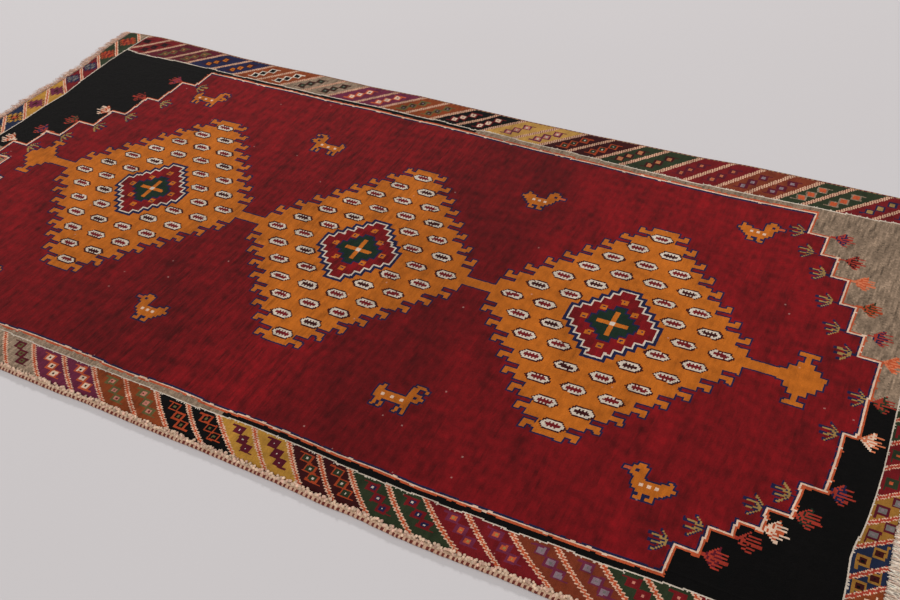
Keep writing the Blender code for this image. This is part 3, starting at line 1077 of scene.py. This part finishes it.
# %% Wool materials
def dyed_material(name, specular):
    """A matt material, its shader, and the sockets of its places and of its dye."""
    cloth, surface = new_material(name)
    surface.inputs["Roughness"].default_value = 0.95
    surface.inputs["Specular IOR Level"].default_value = specular
    place = add_node(cloth, "TexCoord").outputs["Object"]
    dyed = add_node(cloth, "Attribute", {"attribute_name": "dye"}).outputs["Color"]
    return cloth, surface, place, dyed


def tone_and_bump(cloth, surface, dyed, tones, height, strength, depth):
    """Lays two tones over the dye, and raises a pattern into a bump."""
    tone = add_node(cloth, "Math", {"operation": "MULTIPLY"}, n0=tones[0].outputs[0],
                    n1=tones[1].outputs[0])
    toned = add_node(cloth, "VectorMath", {"operation": "SCALE"}, n0=dyed, Scale=tone.outputs[0])
    join(cloth, toned.outputs["Vector"], surface, "Base Color")
    bump = add_node(cloth, "Bump", Strength=strength, Distance=depth, Height=height.outputs["Fac"])
    join(cloth, bump.outputs["Normal"], surface, "Normal")


def wool_material(name, grain_mm, streaks, bump_mm, sheen):
    """Matt dyed wool. streaks is how strong the weft rows show."""
    wool, surface, place, dyed = dyed_material(name, 0.04)
    surface.inputs["Sheen Weight"].default_value = sheen
    surface.inputs["Sheen Roughness"].default_value = 0.45
    surface.inputs["Sheen Tint"].default_value = (1.0, 0.93, 0.88, 1)
    across = add_node(wool, "Mapping", Vector=place, Scale=(1 / (6 * MM), 1 / (40 * MM), 1.0))
    streak = add_node(wool, "TexNoise", Vector=across.outputs["Vector"], Scale=1.0, Detail=3.0)
    grain = add_node(wool, "TexNoise", Vector=place, Scale=1 / (grain_mm * MM), Detail=2.0,
                     Roughness=0.7)
    tones = (
        add_node(wool, "MapRange", Value=streak.outputs["Fac"], From_Min=0.25, From_Max=0.75,
                 To_Min=1 - streaks, To_Max=1 + streaks),
        add_node(wool, "MapRange", Value=grain.outputs["Fac"], From_Min=0.3, From_Max=0.7,
                 To_Min=0.80, To_Max=1.19),
    )
    tone_and_bump(wool, surface, dyed, tones, grain, 0.7, bump_mm * MM)
    return wool


wool_pile = wool_material("sheared_wool_pile", 1.6, 0.03, 1.1, 0.05)
print("materials:", wool_pile.name)

# %% [markdown]
# ## Knot the four borders and the field
# The borders carry the finest drawing, so their faces are about 2.2 mm, a little smaller than a
# real knot of 3 mm. Those of the field are 3.3 mm. The field is one chart, cut into three long
# strips, so that no piece grows too heavy. The long borders butt against the end borders, which
# run the full width.

# %% Borders
EDGE_IN = 5.6 * MM          # the end borders begin this far inside their white line
FIELD_IN = 8.5 * MM         # the long borders end this far inside the cream guard line


def inner_left(y):
    return read(LEFT_WHITE, y) + EDGE_IN


def inner_right(y):
    return read(RIGHT_WHITE, y) - EDGE_IN


def inner_near(x):
    return read(NEAR_GUARD, x) + FIELD_IN


def inner_far(x):
    return read(FAR_GUARD, x) - FIELD_IN


FINE_KNOT, FIELD_KNOT = 2.2 * MM, 3.3 * MM
FINE_SHAKE, FIELD_SHAKE = 0.26 * MM, 0.36 * MM


def chart_of(rows, cols, lines, knot, shake, seed):
    """The corners and the light of a field of knots between four lines."""
    x, y = knot_lattice(rows, cols, *lines)
    mx, my = middles(x), middles(y)
    chart = whole_chart(mx, my, knot)
    at = np.stack(shaken(x, y, chart, shake, seed), -1)
    return at, knot_light(chart, mx, my, seed)


for name, lines, rows, cols, folds, seed in (
    ("border_near", (near_pile, inner_near, inner_left, inner_right), 43, 990, 4, 31),
    ("border_far", (inner_far, far_pile, inner_left, inner_right), 44, 1250, 5, 32),
    ("border_left", (near_pile, far_pile, left_pile, inner_left), 534, 30, 1, 33),
    ("border_right", (near_pile, far_pile, inner_right, right_pile), 534, 23, 1, 34),
):
    knotted(name, *chart_of(rows, cols, lines, FINE_KNOT, FINE_SHAKE, seed), folds)

# %% Field in three strips
FIELD_ROWS, FIELD_COLS = 288, 662
at, light = chart_of(FIELD_ROWS, FIELD_COLS, (inner_near, inner_far, inner_left, inner_right),
                     FIELD_KNOT, FIELD_SHAKE, 35)
for i, name in enumerate(("field_near", "field_middle", "field_far")):
    rows = slice(i * FIELD_ROWS // 3, (i + 1) * FIELD_ROWS // 3)
    points = slice(rows.start, rows.stop + 1)
    knotted(name, at[points], light[rows], 2)

# %% [markdown]
# ## Foundation
# Under the pile is the woven foundation, the cloth that the knots are tied on. Its underside
# shows the same pattern, flatter and paler, with the wefts between the rows. It is made like the
# pile, as a grid that is turned over and closed on top, with coarser cells.

# %% Foundation material
backed, surface, place, dyed = dyed_material("woven_wool_back", 0.1)
weft = add_node(backed, "TexWave", {"bands_direction": "X"}, Vector=place,
                Scale=1 / (3.3 * MM) / 20 * math.pi, Distortion=1.2, Detail=1.0)
grain = add_node(backed, "TexNoise", Vector=place, Scale=1 / (2.0 * MM), Detail=2.0)
tones = (
    add_node(backed, "MapRange", Value=weft.outputs["Fac"], To_Min=0.72, To_Max=1.12),
    add_node(backed, "MapRange", Value=grain.outputs["Fac"], To_Min=0.8, To_Max=1.2),
)
tone_and_bump(backed, surface, dyed, tones, weft, 0.6, 0.8 * MM)

# %% Foundation piece
BACK_ROWS, BACK_COLS, BACK_CELL = 118, 232, 8.0 * MM
BACK_Z, FOUNDATION_H = 0.15 * MM, 4.5 * MM
BACK_INSET, UNDER_NEAR, UNDER_FAR = 0.8 * MM, 2.0 * MM, 1.5 * MM
WEFT_SHARE, WEFT_LIGHT = 0.14, np.array(linear("#A08A78"))

x, y = knot_lattice(BACK_ROWS, BACK_COLS,
                    lambda x: near_pile(x) - UNDER_NEAR, lambda x: far_pile(x) + UNDER_FAR,
                    lambda y: left_pile(y) + BACK_INSET, lambda y: right_pile(y) - BACK_INSET)
mx, my = middles(x), middles(y)
back_light = knot_light(whole_chart(mx, my, BACK_CELL), mx, my, 36)
back_light = (1 - WEFT_SHARE) * back_light + WEFT_SHARE * WEFT_LIGHT
foundation, point_row, point_col = flat_grid("foundation", BACK_ROWS, BACK_COLS)
at = np.stack([x, y, np.full(x.shape, BACK_Z)], -1)[point_row, point_col]
foundation.data.vertices.foreach_set("co", at.ravel())
close_below(foundation, FOUNDATION_H)
foundation.data.flip_normals()
paint(foundation, back_light[grid_faces(foundation, point_row, point_col, BACK_ROWS, BACK_COLS)])
unfold(foundation, point_row, point_col, BACK_ROWS, BACK_COLS, 1)
foundation.data.materials.append(backed)
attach(foundation, "root")
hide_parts("rug")
print("foundation", BACK_ROWS, "x", BACK_COLS, "cells")

# %% [markdown]
# ## Overcast sides
# Each long side is a bundle of warps overcast with yarn. The wraps lie side by side round the
# bundle, in turns of red-brown and tan, so the side is a rolled sheet that swells at every wrap.
# It is made from a long flat grid, rolled up until its two long edges meet, with the seam merged.

# %% Roll a side cord
CORD_START, CORD_END = -1.158, 1.143
CORD_L = 2.305               # length by which the wraps are counted
AROUND = 10                  # faces round the cord
FLOOR_CLEAR = 0.2 * MM
CROWN_FROM = -0.05           # the crown begins this far over the cord, as a cosine


def rolled(piece, edge, width, height, wraps, seed, point_row, t):
    """Rolls a flat grid to an oval cord that swells at each wrap, along an edge of the rug."""
    angle = 2 * np.pi * point_row / AROUND
    x_mid = CORD_START + t * (CORD_END - CORD_START)
    swell = 1 + 0.05 * np.cos(2 * np.pi * x_mid / wraps)
    roll = slow_noise(x_mid, x_mid * 0, 0.05, 1, 8, seed)
    half_w = width / 2 * swell * (1 + 0.04 * roll)
    half_h = height / 2 * swell * (1 + 0.03 * roll)
    x_at = x_mid + 1.4 * MM * np.cos(angle)
    y_at = edge(x_at) + width / 2 + half_w * np.cos(angle) * 0.98
    z_at = np.maximum(height / 2 + half_h * np.sin(angle) * 0.98, FLOOR_CLEAR)
    piece.data.vertices.foreach_set("co", np.stack([x_at, y_at, z_at], -1).ravel())


def close_roll():
    """Merges the seam, closes the two ends and points the faces outwards."""
    bpy.ops.object.mode_set(mode="EDIT")
    bpy.ops.mesh.select_all(action="SELECT")
    bpy.ops.mesh.remove_doubles(threshold=0.05 * MM)
    bpy.ops.mesh.select_all(action="DESELECT")
    bpy.ops.mesh.select_mode(type="EDGE")
    bpy.ops.mesh.select_non_manifold(extend=False)
    bpy.ops.mesh.edge_face_add()
    bpy.ops.mesh.select_all(action="SELECT")
    bpy.ops.mesh.normals_make_consistent(inside=False)
    bpy.ops.object.mode_set(mode="OBJECT")
    bpy.ops.object.shade_smooth_by_angle(angle=math.radians(60))


def side_cord(name, edge, width, height, wraps, seed, colours, turn_lengths, crown=None):
    """An overcast cord along a long side, with turns of two colours and a crown of its own."""
    cols = int(CORD_L / (wraps / 3))
    piece, point_row, point_col = flat_grid(name, AROUND, cols)
    rolled(piece, edge, width, height, wraps, seed, point_row, point_col / cols)
    draw = np.random.default_rng(seed)
    turns = np.cumsum(draw.choice(turn_lengths, 800) * draw.uniform(0.75, 1.25, 800)) - 1.2
    corners = corner_points(piece.data).reshape(-1, 4)
    row, col = point_row[corners].min(1), point_col[corners].min(1)
    turn = np.searchsorted(turns, CORD_START + col / cols * (CORD_END - CORD_START))
    light = np.array([linear(c) for c in colours])[turn % len(colours)]
    if crown:
        light[np.cos(2 * np.pi * (row + 0.5) / AROUND) > CROWN_FROM] = linear(crown)
    light = light * draw.normal(1, 0.10, len(light))[:, None]
    paint(piece, np.clip(light, 0.004, 0.9))
    close_roll()
    piece.data.materials.append(overcast)
    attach(piece, "root")
    print(name, len(piece.data.polygons), "faces")
    return piece


overcast = wool_material("overcast_wool_yarn", 1.2, 0.04, 0.9, 0.06)
selvedge_near = side_cord("selvedge_near", near_edge, NEAR_CORD_W, NEAR_CORD_H, 4.2 * MM, 41,
                          ("#642E26", "#B8957E"), (0.0044, 0.0046), "#AE9078")
selvedge_far = side_cord("selvedge_far", far_edge, FAR_CORD_W, FAR_CORD_H, 4.8 * MM, 42,
                         ("#5E2420", "#92704F"), (0.0060, 0.0052))

# %% [markdown]
# ## Strands
# Loose ends of yarn are all one shape: a thin tapering strand. It is modelled once, a
# three-sided cone cut into lengths, or a small ball for a stubby tuft, and copied along thousands
# of short paths. One mesh holds them all, because so many objects would be slow.

# %% One strand and its copies
LOWEST = 0.15 * MM           # no strand comes nearer to the floor than this


def strand_shape(kind):
    """Points and faces of one strand that stands on the origin, 1 high and 1 in radius."""
    bpy.ops.object.select_all(action="DESELECT")
    if kind == "yarn":
        bpy.ops.mesh.primitive_cone_add(vertices=3, radius1=1.0, radius2=0.4, depth=1.0,
                                        location=(0, 0, 0.5), end_fill_type="TRIFAN")
        start = bpy.context.object
        bpy.ops.object.mode_set(mode="EDIT")
        for cut in (0.2, 0.4, 0.6, 0.8):
            bpy.ops.mesh.select_all(action="SELECT")
            bpy.ops.mesh.bisect(plane_co=(0, 0, cut), plane_no=(0, 0, 1))
        bpy.ops.object.mode_set(mode="OBJECT")
    else:
        bpy.ops.mesh.primitive_uv_sphere_add(segments=5, ring_count=4, radius=1.0)
        start = bpy.context.object
        start.scale = (1, 1, 0.5)
        start.location = (0, 0, 0.5)
    bpy.ops.object.transform_apply(location=True, scale=True)
    points = np.array([v.co for v in start.data.vertices])
    faces = [tuple(p.vertices) for p in start.data.polygons]
    bpy.data.objects.remove(start)
    return points, faces


# %% Copies of a strand
def thread_points(shape, paths, thick):
    """Points of a strand's copies, laid along paths of (count, points, 3)."""
    steps = paths.shape[1] - 1
    along = np.clip(shape[:, 2], 0, 1) * steps
    i = np.minimum(along.astype(int), steps - 1)
    w = (along - i)[None, :, None]
    centre = paths[:, i] * (1 - w) + paths[:, i + 1] * w
    heading = paths[:, i + 1] - paths[:, i]
    heading /= np.maximum(np.linalg.norm(heading, axis=-1, keepdims=True), 1e-9)
    aside = np.cross(heading, (0, 0, 1.0))
    aside /= np.maximum(np.linalg.norm(aside, axis=-1, keepdims=True), 1e-9)
    upward = np.cross(aside, heading)
    points = centre + thick[:, None, None] * (shape[:, 0, None] * aside + shape[:, 1, None] * upward)
    points[..., 2] = np.maximum(points[..., 2], LOWEST)
    return points


def strand_uv(shape, faces, count):
    """Each strand gets its own small square of the UV map."""
    side = math.ceil(math.sqrt(count))
    turn = np.arctan2(shape[:, 1], shape[:, 0]) / (2 * np.pi)
    cell = []
    for face in faces:
        middle = shape[list(face)].mean(0)
        base = math.atan2(middle[1], middle[0]) / (2 * np.pi)
        for v in face:
            off = (turn[v] - base + 0.5) % 1 - 0.5
            cell.append((0.1 + 0.8 * ((base + off) * 0.6 + 0.5), 0.1 + 0.8 * shape[v, 2]))
    cell = np.clip(np.array(cell), 0.04, 0.96)
    corner = np.stack([np.arange(count) % side, np.arange(count) // side], 1)
    return (cell[None] + corner[:, None]) / side


def lay_strands(name, kind, paths, thick, light, material):
    """Copies of a strand along paths, as one mesh."""
    shape, faces = strand_shape(kind)
    count, n = len(paths), len(shape)
    mesh = bpy.data.meshes.new(name)
    mesh.from_pydata(thread_points(shape, paths, thick).reshape(-1, 3), [],
                     [tuple(v + k * n for v in f) for k in range(count) for f in faces])
    piece = bpy.data.objects.new(name, mesh)
    scene.collection.objects.link(piece)
    paint(piece, np.repeat(light, len(faces), axis=0))
    uv = strand_uv(shape, faces, count)
    mesh.uv_layers.new(name="OFBake").uv.foreach_set("vector", uv.ravel())
    mesh.polygons.foreach_set("use_smooth", np.ones(len(mesh.polygons), bool))
    mesh.materials.append(material)
    mesh.update()
    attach(piece, "root")
    print(name, count, "strands,", len(mesh.polygons), "faces")
    return piece


# %% [markdown]
# ## Tufts over the near side
# The near side is sewn over with short cream ends that stand between the pile and the overcast
# cord. They lean this way and that, so each has its own path over the top of the cord.

# %% Tufts
TUFTS, TUFT_START, TUFT_ROW_L = 1000, -1.154, 2.293
draw = np.random.default_rng(51)
tx = TUFT_START + (np.arange(TUFTS) + draw.uniform(-0.9, 0.9, TUFTS)) * (TUFT_ROW_L / TUFTS)
inward = draw.uniform(0, 1, TUFTS)            # 0 half way over the cord, 1 on the pile's rim
inward = np.where(slow_noise(tx, tx * 0, 0.022, 1, 12, 52) > -0.2, inward, 0.20 + 0.80 * inward)
middle_y = near_edge(tx) + NEAR_CORD_W * (0.42 + 0.70 * inward)
lean, half = draw.normal(0, 1.2 * MM, TUFTS), draw.uniform(1.8, 3.2, TUFTS) * MM
crown = (7.9 + 0.8 * inward + draw.uniform(-0.5, 0.7, TUFTS)) * MM
tuft_paths = np.stack([
    np.stack([tx - lean, middle_y + half, crown - 0.5 * MM], 1),
    np.stack([tx, middle_y, crown], 1),
    np.stack([tx + lean, middle_y - half, crown - 0.9 * MM], 1),
], 1)
tuft_light = np.array(linear("#C9AD95")) * draw.normal(1.0, 0.16, TUFTS)[:, None]
pinker = draw.random(TUFTS) < 0.3
tuft_light[pinker] *= np.array([1.0, 0.88, 0.92])
loose_wool = wool_material("loose_wool_yarn", 1.0, 0.05, 0.8, 0.08)
tufts = lay_strands("selvedge_tufts", "tuft", tuft_paths, draw.uniform(2.3, 3.7, TUFTS) * MM,
                    np.clip(tuft_light, 0.02, 0.9), loose_wool)

# %% [markdown]
# ## Fringes
# At the ends the warps run out of the cloth: a short tan fuzz on the left and a longer cream
# fringe on the right. The yarns lie on the floor, drift sideways, and cross each other.

# %% Fringes
FRINGE_X = 1.14              # the width of the cloth is read here, near either end
NEAR_IN, FAR_PAST = 6 * MM, 2 * MM     # the fringe starts inside the near edge and ends past the far pile
ON_TOP = 0.35                # share of the warps that start on top of the pile
POINTS = 6                   # points along each warp's path


def fringe(name, node, end, facing, count, shortest, longest, thick, curl, colours, seed):
    """Loose warps along one end of the rug. Some start on top of the pile and fall over its rim."""
    draw = np.random.default_rng(seed)
    low = float(near_edge(FRINGE_X * facing)) + NEAR_IN
    high = float(far_edge(FRINGE_X * facing)) + FAR_PAST
    y0 = low + (high - low) * (np.arange(count) + draw.uniform(0, 1, count)) / count
    on_top = draw.random(count) < ON_TOP
    inside = np.where(on_top, draw.uniform(1.0, 4.5, count), 2.0) * MM
    x0 = end(y0) - facing * inside
    length = draw.uniform(shortest, longest, count)
    length = length * (1 + 0.15 * slow_noise(y0, y0, 0.05, 1, 6, seed))
    drift = draw.normal(0, 2.0 * curl + 1.4 * MM, count)
    drift = drift + 3 * MM * slow_noise(y0, y0, 0.04, 1, 6, seed + 1)
    start_z = np.where(on_top, draw.uniform(9.4, 10.6, count), draw.uniform(1.2, 7.6, count)) * MM
    fall = np.where(on_top, 1.8, 0.9)
    points = []
    for share in np.linspace(0, 1, POINTS):
        z = start_z * (1 - share ** fall) + draw.uniform(0.5, 4.6, count) * MM * share
        sway = drift * share ** 1.3 + draw.normal(0, curl, count) * (share > 0)
        ahead_by = inside * (share > 0.1) * on_top + length * share
        ahead_by = ahead_by + draw.normal(0, 0.5 * curl, count) * share
        points.append(np.stack([x0 + facing * ahead_by, y0 + sway, z], 1))
    light = np.array([linear(c) for c in colours])[draw.integers(0, len(colours), count)]
    light = light * draw.normal(1.0, 0.10, count)[:, None]
    piece = lay_strands(name, "yarn", np.stack(points, 1), draw.uniform(0.75, 1.25, count) * thick,
                        np.clip(light, 0.02, 0.92), loose_wool)
    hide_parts(node)
    return piece


fringe_left = fringe("warp_fringe_left", "fringe_left", left_end, -1, 2100, 0.010, 0.034,
                     0.66 * MM, 1.1 * MM, ("#CFA890", "#BC907C", "#DABAA6"), 61)
fringe_right = fringe("warp_fringe_right", "fringe_right", right_end, 1, 2350, 0.020, 0.038,
                      0.95 * MM, 2.2 * MM, ("#E6D2BE", "#F0E2D2", "#D8B8A4"), 62)

# %% [markdown]
# The rug is one cloth. The last lines count the triangles of every piece that is shown.

total = sum(len(p.vertices) - 2 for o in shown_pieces() for p in o.data.polygons)
print("triangles in all", total)
